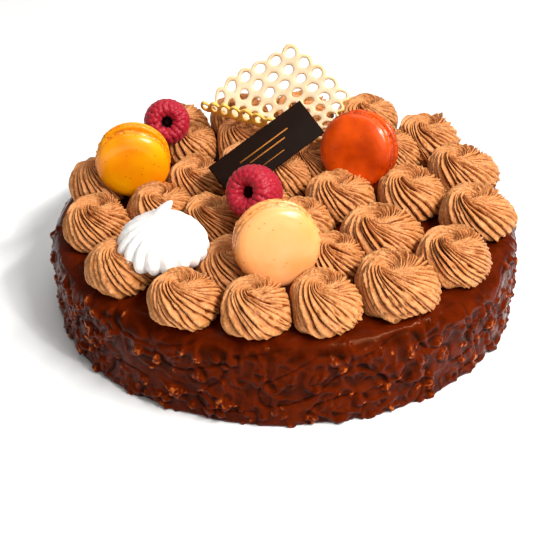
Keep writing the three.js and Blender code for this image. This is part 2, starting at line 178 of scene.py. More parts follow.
def add_node(tree, kind, inputs, **settings):
    """Adds a node: settings are its own properties, and inputs are values or sockets to link."""
    made = tree.nodes.new(kind)
    for key, value in settings.items():
        setattr(made, key, value)
    for key, value in inputs.items():
        if isinstance(value, bpy.types.NodeSocket):
            tree.links.new(value, made.inputs[key])
        else:
            made.inputs[key].default_value = value
    return made


def new_material(name, **constants):
    """A material with those constants on its shader's own sockets, its node tree and its shader."""
    made = bpy.data.materials.new(name)
    made.use_nodes = True
    shader = made.node_tree.nodes["Principled BSDF"]
    for key, value in constants.items():
        shader.inputs[key.replace("_", " ")].default_value = value
    return made, made.node_tree, shader


def set_ramp(ramp, *stops):
    """Gives a colour ramp its stops: (place, hex colour)."""
    elements = ramp.color_ramp.elements
    while len(elements) < len(stops):
        elements.new(0.5)
    for element, (place, colour) in zip(elements, stops):
        element.position = place
        element.color = linear(colour)


def every(size):
    """Scale of a pattern whose marks are about that many mm apart.

    The sizes have five digits, because a rounder one would shift the far ends of a pattern.
    """
    return 1 / (size * MM)


# Chocolate mirror glaze: cocoa, sugar and cream, poured warm and set, so it is very dark and has a
# wet gloss. Over the nuts it is thin, and their caramel brown shows through it in small spots, which
# are also painted bright as glints. In the hollows and under the lumps its colour is painted darker
# as shade, and it is duller, because the lumps round them shade them. Its reflections are kept weak
# and warm, or those of the white floor would turn the sides of the wall grey.
SPOT_PITCH = 1.9231
DAPPLE_PITCH = 6.6667
RIPPLE_PITCH = 2.6316
glaze, tree, shader = new_material(
    "poured_chocolate_glaze", IOR=1.47, Specular_IOR_Level=0.065, Specular_Tint=linear("#f0b080"),
)
thin = add_node(tree, "ShaderNodeAttribute", {}, attribute_name="thin_glaze")
low = add_node(tree, "ShaderNodeAttribute", {}, attribute_name="recess")
place = add_node(tree, "ShaderNodeTexCoord", {})
spots = add_node(
    tree, "ShaderNodeTexNoise",
    {"Vector": place.outputs["Object"], "Scale": every(SPOT_PITCH), "Detail": 3},
)
glints = add_node(
    tree, "ShaderNodeMapRange", {"Value": spots.outputs["Fac"], "From Min": 0.42, "From Max": 0.66},
)
dapple = add_node(
    tree, "ShaderNodeTexNoise",
    {"Vector": place.outputs["Object"], "Scale": every(DAPPLE_PITCH), "Detail": 3},
)
# Nut spots: partly the caramel brown of the nuts, partly painted glints.
through = add_node(
    tree, "ShaderNodeMath", {0: thin.outputs["Fac"], 1: glints.outputs[0], 2: 0.32},
    operation="MULTIPLY_ADD",
)
# Painted shade: the colour is darkened in the hollows and under the lumps.
dim = add_node(
    tree, "ShaderNodeMath", {0: low.outputs["Fac"], 1: -0.46, 2: through.outputs[0]},
    operation="MULTIPLY_ADD",
)
amount = add_node(
    tree, "ShaderNodeMath", {0: dapple.outputs["Fac"], 1: 0.36, 2: dim.outputs[0]},
    operation="MULTIPLY_ADD",
)
# The darkest stops are the painted shade; the brightest is the nuts' caramel with painted glints.
shades = add_node(tree, "ShaderNodeValToRGB", {"Fac": amount.outputs[0]})
set_ramp(
    shades,
    (0.06, "#140200"),
    (0.3, "#340a00"),
    (0.5, "#531602"),
    (0.8, "#6c2508"),
    (1.0, "#a8521c"),
)
tree.links.new(shades.outputs["Color"], shader.inputs["Base Color"])
gloss = add_node(
    tree, "ShaderNodeMapRange", {"Value": low.outputs["Fac"], "To Min": 0.12, "To Max": 0.7},
)
tree.links.new(gloss.outputs[0], shader.inputs["Roughness"])
ripple = add_node(
    tree, "ShaderNodeTexNoise",
    {"Vector": place.outputs["Object"], "Scale": every(RIPPLE_PITCH), "Detail": 3},
)
bump = add_node(
    tree, "ShaderNodeBump",
    {"Height": ripple.outputs["Fac"], "Strength": 0.15, "Distance": 0.7 * MM},
)
tree.links.new(bump.outputs["Normal"], shader.inputs["Normal"])


def ring_faces(rows, around):
    """Faces that join rings of points listed upwards, with a middle point after them for each end."""
    here = np.arange(around)
    after = (here + 1) % around
    faces = []
    for row in range(rows - 1):
        low, high = row * around, (row + 1) * around
        quads = np.stack([low + here, low + after, high + after, high + here], 1)
        faces += quads.tolist()
    bottom, top = rows * around, rows * around + 1
    last = (rows - 1) * around
    faces += np.stack([np.full(around, bottom), after, here], 1).tolist()
    faces += np.stack([np.full(around, top), last + here, last + after], 1).tolist()
    return faces


def with_ends(rings):
    """The points of rings as a list, with the middle of the first and of the last ring after them."""
    return np.vstack([rings.reshape(-1, 3), rings[0].mean(0), rings[-1].mean(0)])


def mesh_piece(name, points, faces, material, slot, **attributes):
    """An object of points in millimetres that rides on the cake, with the material given. The slot is
    not used.
    """
    mesh = bpy.data.meshes.new(name)
    mesh.from_pydata((np.asarray(points) * MM).tolist(), [], faces)
    for key, values in attributes.items():
        layer = mesh.attributes.new(key, "FLOAT", "POINT")
        layer.data.foreach_set("value", np.asarray(values, np.float32).ravel())
    mesh.materials.append(material)
    mesh.shade_smooth()
    made = bpy.data.objects.new(name, mesh)
    bpy.context.scene.collection.objects.link(made)
    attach(made, "root")
    return made


body = mesh_piece(
    "glazed_cake", with_ends(body_rings), ring_faces(*body_rings.shape[:2]), glaze,
    "chocolate_glaze", thin_glaze=np.append(thin_glaze, [0, 0]), recess=np.append(recess, [0, 0]),
)
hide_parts("cake_body")

# ---- Piped rosettes ------------------------------------------------------------------------------
# Chocolate buttercream piped through a star nozzle of fine teeth, in one turn each that ends in a
# sunken whirl. The start of a turn is crisp and deep, and its end is smeared over it.

CREAM_FOOT = 43.9
GAP = 0.3
# Bearing and distance of the middle from that of the cake, radius and height of each rosette.
ROSETTES = {
    "rim": [
        (-165, 95, 16.3, 19), (-140, 98, 16.5, 19), (-116, 100.5, 16.5, 18),
        (-97, 99.5, 16.5, 18.5), (-80, 97, 17, 19), (-59, 97, 19, 21.5), (-37, 98, 17.5, 20.5),
        (-10, 97, 18.5, 19.5), (16, 98, 18, 19.5), (38, 101, 17.5, 20), (62, 101, 17.5, 21),
        (83, 100, 17, 19), (104, 98, 17, 19), (125, 101, 17.5, 20), (147, 98.5, 16.5, 19),
        (168, 97, 15.7, 19),
    ],
    "middle": [
        (2, 65, 17.5, 19), (-41, 62, 20, 20), (-70, 64, 15.5, 18), (-112, 69, 16, 18),
        (-142, 67, 16, 18), (-172, 62, 16.5, 18), (157, 49, 16, 18), (129, 80, 15.5, 18),
        (109, 68, 16, 19), (74, 68, 16.5, 19), (40, 77, 16, 19),
    ],
    "inner": [
        (2, 29, 18, 19), (-70, 27, 15, 17.5), (-150, 41, 15.5, 17.5), (-160, 12, 14, 17),
        (88, 24, 15, 17.5), (64, 40, 16, 18.5), (118, 43, 14, 17.5),
    ],
}
PER_RIDGE = 7
# Outline from the foot to the bottom of the whirl: share of the radius, share of the height.
ROSETTE_OUTLINE = [
    (0.62, 0), (0.8, 0.03), (0.91, 0.09), (0.98, 0.18), (1.0, 0.29), (0.985, 0.42),
    (0.94, 0.55), (0.87, 0.67), (0.78, 0.775), (0.67, 0.86), (0.555, 0.92), (0.44, 0.95),
    (0.33, 0.955), (0.22, 0.94), (0.12, 0.915), (0.05, 0.9),
]
# The rosettes whose tops show well: where the whirl sits beside the middle and how far it is sunk,
# in mm, and the number of ridges.
WHIRLS = {
    "rosette_rim_01": (2.4, 2.6, 1, 28), "rosette_rim_03": (-2, 1, 1, 28),
    "rosette_rim_04": (-2, 3, 0.8, 22), "rosette_rim_05": (0, 3, 1, 25),
    "rosette_rim_06": (-4, -1.5, 1, 30), "rosette_rim_07": (-1, -1, 0.9, 30),
    "rosette_rim_08": (-4, -2, 0.8, 27), "rosette_rim_09": (-4, -2, 0.8, 28),
    "rosette_middle_02": (-3, 2, 1, 30), "rosette_inner_01": (-2, -3, 0.8, 26),
}


def smooth_outline(stops, shares, passes=60):
    """Points at those shares of a line through the stops, rounded by a number of passes."""
    stops = np.array(stops, float)
    run = run_along(stops)
    fine = np.linspace(0, run[-1], 400)
    line = np.stack([np.interp(fine, run, stops[:, i]) for i in (0, 1)], 1)
    for _ in range(passes):
        line[1:-1] = (line[:-2] + 2 * line[1:-1] + line[2:]) / 4
    return line[(np.asarray(shares) * (len(fine) - 1)).round().astype(int)]


profile = smooth_outline(ROSETTE_OUTLINE, np.linspace(0, 1, 44), 40)
piped = []
for ring_name, entries in ROSETTES.items():
    for i, (at, distance, radius, height) in enumerate(entries):
        middle = polar(distance, math.radians(at), 0)[:2]
        piped.append((f"rosette_{ring_name}_{i + 1:02d}", middle, radius, height))


def ridge(f, steep, fall):
    """Height across a ridge: a steep rise over its first part, and a slow fall over the rest."""
    rise = (f / steep) ** 0.6
    drop = fall * (np.maximum(f - steep, 0) / (1 - steep)) ** 1.5
    return np.where(f < steep, rise, 1 - drop)


def kept_in_place(name, middle, radius, r, shape, theta):
    """Distances that stop at the rim of the cake and at the flat seams with the neighbours."""
    cosine, sine = np.cos(theta), np.sin(theta)
    # The foot stays on the flat top of the cake, and the belly may hang further out as it rises.
    edge = CAKE_RADIUS - EDGE + 2.2 * shape[:, 1:]
    out = middle[0] * cosine + middle[1] * sine
    to_edge = np.sqrt(out ** 2 - middle @ middle + edge ** 2) - out
    r = r - np.maximum(shape[:, :1] - to_edge, 0)
    for other_name, other, other_radius, _ in piped:
        span = np.linalg.norm(other - middle)
        if other_name == name or span > radius + other_radius + 6:
            continue
        lean = (cosine * (other - middle)[0] + sine * (other - middle)[1]) / span
        to_seam = (span ** 2 + radius ** 2 - other_radius ** 2) / (2 * span) - GAP / 2
        limit = np.where(lean > 0.05, to_seam / np.maximum(lean, 0.05), 1e3)
        # The edge of the seam is rounded off over about 1.5 mm.
        r = np.minimum(r, limit) - 0.9 * np.exp(-np.abs(r - limit) / 1.5)
    return np.maximum(r, 0.3)


def rosette_points(name, middle, radius, height, rng):
    """Rings of points of one rosette, and the painted shade of its slits and pits at each point, 0 to
    1.
    """
    hidden = (*rng.uniform(-2, 2, 2), rng.uniform(0.4, 1.3), rng.integers(23, 30))
    *whirl, sunk, ridges = WHIRLS.get(name, hidden)
    shape = profile * [radius, height]
    tangent = np.gradient(shape, axis=0)
    tangent /= np.linalg.norm(tangent, axis=1)[:, None]
    normal = np.stack([tangent[:, 1], -tangent[:, 0]], 1)
    run = run_along(shape)
    u = run / run[-1]
    # The ridges lean most along the turn at the foot and in the whirl.
    pitch = np.interp(u, [0, 0.2, 0.42, 0.7, 1], [58, 46, 38, 48, 64]) + rng.uniform(-5, 6)
    step = np.diff(run, prepend=0) * np.tan(np.radians(pitch)) / np.maximum(shape[:, 0], 1.8)
    turn = np.cumsum(step)
    u, run, share = u[:, None], run[:, None], profile[:, :1]
    upper = u > 0.4

    # Ridges between the grooves, wide and narrow, with the same number of points across each.
    # Towards the whirl every other groove runs out, so the ridges there are wide, like petals.
    ends = np.concatenate([[0], np.cumsum(rng.uniform(0.55, 1.5, ridges))])
    place = np.arange(ridges * PER_RIDGE) / PER_RIDGE
    at_ridge = place.astype(int)
    w = np.interp(place, np.arange(ridges + 1), ends / ends[-1] * TURN)
    narrow = ridge(place % 1, 0.2, 0.75)
    wide = ridge(place / 2 % 1, 0.12, 0.8)
    joined = np.clip((0.5 - share) / 0.2, 0, 1) * upper
    crest = narrow * (1 - joined) + wide * joined
    around = (np.cos(w) * radius, np.sin(w) * radius)
    wander = 0.045 * waves(rng, (*around, u * 24), 10, 6) * np.clip(1.3 - u, 0, 1)
    theta = w + rng.uniform(0, TURN) - turn[:, None] + wander

    def streaks(across, length, count=9):
        """Uneven field with patches of that size, in mm, that are drawn out along the ridges."""
        return waves(rng, (*around, run * across / length), across, count)

    # Crisp where the turn starts and smeared where it ends, with torn ridges, pits and flecks.
    smear_at = math.radians(rng.uniform(-10, 40))
    fresh = 0.5 - 0.5 * np.cos(theta - smear_at + 0.9 * u)
    crisp = 0.48 + 0.52 * np.clip(1.9 * fresh - 0.2, 0, 1)
    sizes = rng.uniform(0.6, 1.15, ridges) * np.clip(np.diff(ends), 0.7, 1.3)
    torn = 1 + 0.25 * waves(rng, (at_ridge * 5.0, u * 9), 5, 5)
    torn = torn + 0.75 * (1.25 - crisp) * streaks(2.4, 5)
    crown = 1 + rng.uniform(0.2, 0.7) * np.exp(-((share - 0.6) / 0.3) ** 2) * upper
    frilled_foot = 1 + 0.4 * np.exp(-(u / 0.07) ** 2)
    depth = radius * 0.17 * np.clip(share / 0.34, 0.2, 1) * frilled_foot * crown
    outer = np.clip(share * 2, 0, 1)
    pits = np.clip(streaks(1.9, 4.2) - 0.65, 0, 1.1) * (1.45 - crisp) * outer
    flecks = np.clip(streaks(1.6, 2.8) - 1.1, 0, 1) * (1.3 - crisp) * outer
    threads = rng.normal(0, 0.11, w.size) + 0.13 * streaks(1.1, 16)
    swell = 0.5 * waves(rng, (np.cos(theta) * radius, np.sin(theta) * radius, u * 20), 18, 5)
    lift = depth * crisp * sizes[at_ridge] * np.maximum(torn, 0.1) * (crest - 0.58)
    lift += threads * np.clip(share * 2.5, 0, 1) + swell - 1.7 * pits + 1.1 * flecks

    # The end of the turn lies over its start: a step that follows one groove in to the whirl.
    over = place / ridges
    top = np.exp(-((share - 0.42) / 0.3) ** 2) * upper
    pressed = sunk * np.exp(-(share / 0.36) ** 2) * upper
    r = shape[:, :1] + lift * normal[:, :1] + 0.8 * (over - 0.5) * (1 - u)
    z = shape[:, 1:] + lift * normal[:, 1:] - 1.1 * over ** 2 * top - pressed
    r = kept_in_place(name, middle, radius, r, shape, theta)
    drift = np.clip(u * 1.25 - 0.25, 0, 1) ** 1.5 * whirl
    x = middle[0] + r * np.cos(theta) + drift[:, :1]
    y = middle[1] + r * np.sin(theta) + drift[:, 1:]
    z = CREAM_FOOT + np.maximum(z, 0)
    # Painted shade in the slits, stronger on the crisp side and in the whirl, and in the pits.
    painted_slit_shade = (1 - crest) ** 2 * (crisp + 0.15 * top) * np.clip(torn, 0.3, 1.2)
    return np.stack([x, y, z], -1), np.clip(painted_slit_shade + 0.45 * pits, 0, 1)


# Chocolate buttercream: butter, sugar and cocoa whipped together, which is soft tan with a satin
# skin. The slits and pits are painted darker as shade, because less light gets down to them, and fine
# air pits show. The real pits are about 0.3 mm across, which is too fine to show, so they are drawn at
# over 1 mm.
MOTTLE_PITCH = 3.8462
PIT_PITCH = 1.6129
GRAIN_PITCH = 1.1111
cream, tree, shader = new_material(
    "chocolate_buttercream", Roughness=0.42, IOR=1.46, Specular_IOR_Level=0.25,
)
painted_groove_shade = add_node(tree, "ShaderNodeAttribute", {}, attribute_name="groove")
place = add_node(tree, "ShaderNodeTexCoord", {})
mottle = add_node(
    tree, "ShaderNodeTexNoise",
    {"Vector": place.outputs["Object"], "Scale": every(MOTTLE_PITCH), "Detail": 4},
)
shade = add_node(
    tree, "ShaderNodeMath", {0: mottle.outputs["Fac"], 1: 0.4, 2: painted_groove_shade.outputs["Fac"]},
    operation="MULTIPLY_ADD",
)
shades = add_node(tree, "ShaderNodeValToRGB", {"Fac": shade.outputs[0]})
set_ramp(shades, (0.1, "#d6965e"), (0.3, "#c37d45"), (0.62, "#863f0c"), (1.0, "#4a1900"))
tree.links.new(shades.outputs["Color"], shader.inputs["Base Color"])
pits = add_node(
    tree, "ShaderNodeTexVoronoi", {"Vector": place.outputs["Object"], "Scale": every(PIT_PITCH)},
)
grain = add_node(
    tree, "ShaderNodeTexNoise",
    {"Vector": place.outputs["Object"], "Scale": every(GRAIN_PITCH), "Detail": 2},
)
rough = add_node(
    tree, "ShaderNodeMath", {0: pits.outputs["Distance"], 1: grain.outputs["Fac"]},
    operation="ADD",
)
bump = add_node(
    tree, "ShaderNodeBump", {"Height": rough.outputs[0], "Strength": 0.7, "Distance": 0.7 * MM},
)
tree.links.new(bump.outputs["Normal"], shader.inputs["Normal"])

rosette_pieces = []
for i, (name, middle, radius, height) in enumerate(piped):
    rings, groove = rosette_points(name, middle, radius, height, np.random.default_rng(100 + i))
    made = mesh_piece(
        f"piped_{name}", with_ends(rings), ring_faces(*rings.shape[:2]), cream, "chocolate_cream",
        groove=np.append(groove, [0, groove[-1].mean()]),
    )
    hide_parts(name)
    rosette_pieces.append(made)

# ---- Macarons ------------------------------------------------------------------------------------
# Almond meringue shells, 38 to 40 mm across, baked smooth on top with a ruffled foot, and pressed in
# pairs on a thin disc of filling. They stand on edge in the cream.

# Middle, radius, bearing and tilt of the face, share of the radius that the smooth cap takes, colours
# of the cap, its mottling and its foot, slot.
MACARONS = {
    "macaron_yellow": (
        (-4, -72, 68.6), 19.8, 8, 12, 0.93, ("#f9ad70", "#ec9a4e", "#b87018"), "yellow_macaron",
    ),
    "macaron_orange": (
        (-76, 12, 68), 19, 2, -4, 0.94, ("#ffaa04", "#f68200", "#bc5600"), "orange_macaron",
    ),
    "macaron_rust": (
        (38.6, 20, 68.7), 20, -25, 13, 0.935, ("#ee5602", "#901c00", "#701800"), "rust_macaron",
    ),
}
SHELL_SIDES = 120
FILLING_SIDES = 96
FILLING_HALF = 1.2
# From the lower face of the filling round its rim to the upper one: distance from the middle, height.
FILLING_OUTLINE = [
    (2, -1.2), (15, -1.2), (16.8, -1.1), (17.2, -0.4), (17.2, 0.4), (16.8, 1.1), (15, 1.2), (2, 1.2),
]
CLOUD_PITCH = 18.182
SPECK_PITCH = 3.0303
CRUMB_PITCH = 1.4286
GANACHE_PITCH = 3.3333


def facing(yaw, tilt):
    """Direction that faces the front, turned by yaw towards +X and raised by tilt, in degrees."""
    yaw, tilt = math.radians(yaw), math.radians(tilt)
    level = math.cos(tilt)
    return Vector((math.sin(yaw) * level, -math.cos(yaw) * level, math.sin(tilt)))


def placed(points, turn, at):
    """Points turned by a rotation and moved."""
    return points @ np.array(turn.to_matrix()).T + np.array(at)


def shell_rings(radius, cap, rng):
    """One shell, flat side down at the filling, and how much of its ruffled foot each point is."""
    # Share of the radius and height in mm: the flat side, the foot, a crease and the smooth cap.
    stops = [
        (0.3, 0), (0.88, 0), (0.95, 0.15), (0.985, 0.7), (1.0, 1.4), (0.995, 2.3), (0.97, 3.0),
        (cap - 0.015, 3.45), (cap + 0.012, 3.8), (cap + 0.015, 4.5), (cap, 5.3),
        (cap - 0.055, 6.5), (cap - 0.16, 7.5), (cap - 0.33, 8.2), (0.36, 8.52), (0.1, 8.6),
    ]
    shares = np.concatenate([
        np.linspace(0, 0.28, 4, endpoint=False),
        np.linspace(0.28, 0.56, 26, endpoint=False),
        np.linspace(0.56, 1, 18),
    ])
    line = smooth_outline([(r * radius, z) for r, z in stops], shares, 10)
    theta = np.arange(SHELL_SIDES) * TURN / SHELL_SIDES
    r = line[:, :1] * np.ones(SHELL_SIDES)
    z = line[:, 1:] * np.ones(SHELL_SIDES)
    foot = np.exp(-(np.abs(z - 1.8) / 1.5) ** 4) * (r > 0.86 * radius)
    place = (r * np.cos(theta), r * np.sin(theta), z * 1.3)
    r = r + foot * (0.2 * waves(rng, place, 4.5, 8) + 0.26 * waves(rng, place, 1.9, 12) - 0.4)
    dent = waves(rng, (r * np.cos(theta), r * np.sin(theta), z), 30, 4)
    z = z + 0.12 * dent * np.clip(z / 8, 0, 1)
    return polar(r, theta[None, :], z + FILLING_HALF + GAP), foot


for index, (name, (at, radius, yaw, tilt, cap, colours, slot)) in enumerate(MACARONS.items()):
    rng = np.random.default_rng(300 + index)
    turn = Vector((0, 0, 1)).rotation_difference(facing(yaw, tilt))
    # Baked almond meringue, coloured through: an eggshell-smooth, faintly glossy crust with brown
    # specks of ground almond half a millimetre across, and a rougher foot browned in spots. Light
    # goes a little way into the sugar, which softens the shade.
    crust, tree, shader = new_material(
        f"baked_almond_shell_{slot}", Roughness=0.25, IOR=1.45, Specular_IOR_Level=0.45,
        Subsurface_Weight=0.1, Subsurface_Scale=4 * MM,
    )
    place = add_node(tree, "ShaderNodeTexCoord", {})
    cloud = add_node(
        tree, "ShaderNodeTexNoise",
        {"Vector": place.outputs["Object"], "Scale": every(CLOUD_PITCH), "Detail": 4},
    )
    tone = add_node(tree, "ShaderNodeValToRGB", {"Fac": cloud.outputs["Fac"]})
    set_ramp(tone, (0.3, colours[0]), (0.72, colours[1]))
    cells = add_node(
        tree, "ShaderNodeTexVoronoi",
        {"Vector": place.outputs["Object"], "Scale": every(SPECK_PITCH)},
    )
    dots = add_node(
        tree, "ShaderNodeMapRange",
        {"Value": cells.outputs["Distance"], "From Min": 0.16, "From Max": 0.08, "To Max": 0.85},
    )
    some = add_node(
        tree, "ShaderNodeMath", {0: cells.outputs["Color"], 1: 0.5}, operation="GREATER_THAN",
    )
    specks = add_node(
        tree, "ShaderNodeMath", {0: dots.outputs[0], 1: some.outputs[0]}, operation="MULTIPLY",
    )
    foot_share = add_node(tree, "ShaderNodeAttribute", {}, attribute_name="foot")
    crumbs = add_node(
        tree, "ShaderNodeTexNoise",
        {"Vector": place.outputs["Object"], "Scale": every(CRUMB_PITCH), "Detail": 3},
    )
    browned = add_node(
        tree, "ShaderNodeMapRange",
        {"Value": crumbs.outputs["Fac"], "From Min": 0.46, "From Max": 0.62, "To Max": 0.9},
    )
    foot_brown = add_node(
        tree, "ShaderNodeMath", {0: browned.outputs[0], 1: foot_share.outputs["Fac"]},
        operation="MULTIPLY",
    )
    either = add_node(
        tree, "ShaderNodeMath", {0: specks.outputs[0], 1: foot_brown.outputs[0]},
        operation="MAXIMUM",
    )
    tinted = add_node(
        tree, "ShaderNodeMix",
        {"Factor": either.outputs[0], "A": tone.outputs["Color"], "B": linear(colours[2])},
        data_type="RGBA",
    )
    tree.links.new(tinted.outputs["Result"], shader.inputs["Base Color"])
    pitted = add_node(
        tree, "ShaderNodeMath",
        {0: foot_share.outputs["Fac"], 1: crumbs.outputs["Fac"], 2: cloud.outputs["Fac"]},
        operation="MULTIPLY_ADD",
    )
    bump = add_node(
        tree, "ShaderNodeBump",
        {"Height": pitted.outputs[0], "Strength": 0.5, "Distance": 0.6 * MM},
    )
    tree.links.new(bump.outputs["Normal"], shader.inputs["Normal"])
    for side, flip in (("front", 1), ("back", -1)):
        rings, foot = shell_rings(radius, cap, rng)
        if flip < 0:
            rings = rings * [1, -1, -1]
        made = mesh_piece(
            f"{name}_{side}_shell", placed(with_ends(rings), turn, at),
            ring_faces(*rings.shape[:2]), crust, slot, foot=np.append(foot, [0, 0]),
        )
        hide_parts(f"{name}_{side}")

    # The filling: a piped disc of ganache pressed out to an uneven edge, a little inside the feet.
    line = smooth_outline(FILLING_OUTLINE, np.linspace(0, 1, 26))
    theta = np.arange(FILLING_SIDES) * TURN / FILLING_SIDES
    edge = 0.3 * waves(rng, (17 * np.cos(theta), 17 * np.sin(theta)), 9, 6)
    rings = polar(line[:, :1] + edge[None, :] * (line[:, :1] > 16), theta[None, :], line[:, 1:])
    # Ganache: chocolate and cream, set soft, so it is satin, and takes on the colour of its shells.
    filling, tree, shader = new_material(f"macaron_ganache_{slot}", Roughness=0.5, IOR=1.46)
    place = add_node(tree, "ShaderNodeTexCoord", {})
    cloud = add_node(
        tree, "ShaderNodeTexNoise",
        {"Vector": place.outputs["Object"], "Scale": every(GANACHE_PITCH), "Detail": 3},
    )
    tone = add_node(tree, "ShaderNodeValToRGB", {"Fac": cloud.outputs["Fac"]})
    set_ramp(tone, (0.3, colours[2]), (0.8, "#6e3410"))
    tree.links.new(tone.outputs["Color"], shader.inputs["Base Color"])
    made = mesh_piece(
        f"{name}_ganache", placed(with_ends(rings), turn, at), ring_faces(*rings.shape[:2]),
        filling, "macaron_filling",
    )
    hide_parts(f"{name}_filling")

# ---- Meringue ------------------------------------------------------------------------------------
# A kiss of whipped egg white and sugar, piped through a wide star nozzle and lifted off, so that its
# fat lobes twist up to a small leaning point. Dried in a low oven, pure white and matte.

MERINGUE_AT = (-56, -59.7, 54.5)
MERINGUE_RADIUS = 20.5
MERINGUE_HEIGHT = 29.3
LOBES = 18
PER_LOBE = 16
# From the foot over the belly up to the point: share of the radius, share of the height.
MERINGUE_OUTLINE = [
    (0.4, 0), (0.74, 0), (0.87, 0.03), (0.965, 0.1), (1.01, 0.2), (0.985, 0.31), (0.9, 0.43),
    (0.76, 0.54), (0.57, 0.635), (0.38, 0.71), (0.235, 0.775), (0.16, 0.84), (0.13, 0.9),
    (0.09, 0.96), (0.02, 1.0),
]
line = smooth_outline(MERINGUE_OUTLINE, np.linspace(0, 1, 64), 20)
w = np.arange(LOBES * PER_LOBE) * TURN / (LOBES * PER_LOBE)
rng = np.random.default_rng(51)
uneven = w + 0.07 * np.sin(2 * w + 1) + 0.05 * np.sin(3 * w)
share, rise = line[:, :1], line[:, 1:]
lobe = np.abs(np.cos(uneven * LOBES / 2)) ** (0.6 + 0.8 * np.clip(1 - rise / 0.16, 0, 1))
turn = np.interp(rise, [0, 0.4, 0.6, 0.75, 0.86, 1], np.radians([0, 0, 6, 16, 36, 60]))
theta = w[None, :] + turn
lobe_depth = 3.1 * np.clip(share * 1.3, 0, 1) * np.clip(1.25 - rise, 0.3, 1)
r = MERINGUE_RADIUS * share + lobe_depth * (lobe - 0.78)
dents = waves(rng, (np.cos(theta) * 20, np.sin(theta) * 20, rise * 30), 16, 5)
r = np.maximum(r + 0.35 * dents * np.clip(share * 2, 0, 1), 0.15)
rings = polar(r, theta, MERINGUE_HEIGHT * rise)
# The nozzle was pulled off sideways, which left a small hook.
rings[..., 0] += 1.6 * rise ** 2 + 3.6 * np.clip((rise - 0.8) / 0.2, 0, 1) ** 1.5
meringue_points = with_ends(rings) + MERINGUE_AT

# Dried meringue: egg white and sugar, full of air, so it is white and matte, and light goes some way
# into it. Its grains are about 0.1 mm across, too fine to show, so they are drawn coarser.
MERINGUE_CLOUD = 11.111
SUGAR_PITCH = 0.76923
sugar, tree, shader = new_material(
    "dried_meringue", Roughness=0.62, IOR=1.45, Subsurface_Weight=0.15, Subsurface_Scale=4 * MM,
)
place = add_node(tree, "ShaderNodeTexCoord", {})
cloud = add_node(
    tree, "ShaderNodeTexNoise",
    {"Vector": place.outputs["Object"], "Scale": every(MERINGUE_CLOUD), "Detail": 4},
)
tone = add_node(tree, "ShaderNodeValToRGB", {"Fac": cloud.outputs["Fac"]})
set_ramp(tone, (0.3, "#faf7f3"), (0.8, "#f6f0e9"))
tree.links.new(tone.outputs["Color"], shader.inputs["Base Color"])
chalk = add_node(
    tree, "ShaderNodeTexNoise",
    {"Vector": place.outputs["Object"], "Scale": every(SUGAR_PITCH), "Detail": 2},
)
bump = add_node(
    tree, "ShaderNodeBump",
    {"Height": chalk.outputs["Fac"], "Strength": 0.15, "Distance": 0.3 * MM},
)
tree.links.new(bump.outputs["Normal"], shader.inputs["Normal"])
kiss = mesh_piece(
    "meringue_kiss", meringue_points, ring_faces(*rings.shape[:2]), sugar, "meringue",
)
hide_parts("meringue")

# ---- Raspberries ---------------------------------------------------------------------------------
# Two whole fresh raspberries, picked off their cores, so each is a hollow cup of small round
# drupelets with a pale bloom. They lie in the cream with the open end towards the front.

RASPBERRIES = {
    "raspberry_back": ((-61.7, 49.8, 71), (0.09, -0.9, 0.42), 12, 20),
    "raspberry_front": ((-18.5, -38.7, 76.6), (-0.5, -0.72, 0.46), 13, 23),
}
# From the tip over the rim and into the hollow that the core left: shares of radius and length.
BERRY_OUTLINE = [
    (0.1, -1.0), (0.45, -0.94), (0.74, -0.8), (0.92, -0.62), (1, -0.44), (0.99, -0.27),
    (0.91, -0.12), (0.76, -0.03), (0.58, -0.01), (0.42, -0.06), (0.33, -0.18), (0.29, -0.4),
    (0.2, -0.57), (0.05, -0.6),
]
BERRY_ROWS = 90
BERRY_SIDES = 172
HOLLOW_ROW = 68
# The drupelets stand on a skin that is a little inside the outline.
SKIN = (0.92, 0.96)
DRUPELET_PITCH = 2.95
DRUPELET_ROW_PITCH = 2.5
DRUPELET_RADIUS = 1.85
DRUPELET_RISE = 1.5

# Raspberry skin: thin, moist and a little hairy, so it has soft glints and a pale bloom, and light
# goes into the flesh. The clefts between the drupelets and the hollow are painted deep red as shade.
BLOOM_PITCH = 2.8571
fruit, tree, shader = new_material(
    "ripe_raspberry_skin", Roughness=0.4, IOR=1.4, Specular_IOR_Level=0.3,
    Subsurface_Weight=0.15, Subsurface_Scale=2 * MM, Sheen_Weight=0.08, Sheen_Roughness=0.4,
)
cleft = add_node(tree, "ShaderNodeAttribute", {}, attribute_name="cleft")
place = add_node(tree, "ShaderNodeTexCoord", {})
bloom = add_node(
    tree, "ShaderNodeTexNoise",
    {"Vector": place.outputs["Object"], "Scale": every(BLOOM_PITCH), "Detail": 4},
)
shade = add_node(
    tree, "ShaderNodeMath", {0: bloom.outputs["Fac"], 1: 0.2, 2: cleft.outputs["Fac"]},
    operation="MULTIPLY_ADD",
)
tone = add_node(tree, "ShaderNodeValToRGB", {"Fac": shade.outputs[0]})
set_ramp(
    tone,
    (0.08, "#a81a2d"),
    (0.3, "#9a1323"),
    (0.5, "#b22d3c"),
    (0.68, "#760917"),
    (1.0, "#300107"),
)
tree.links.new(tone.outputs["Color"], shader.inputs["Base Color"])
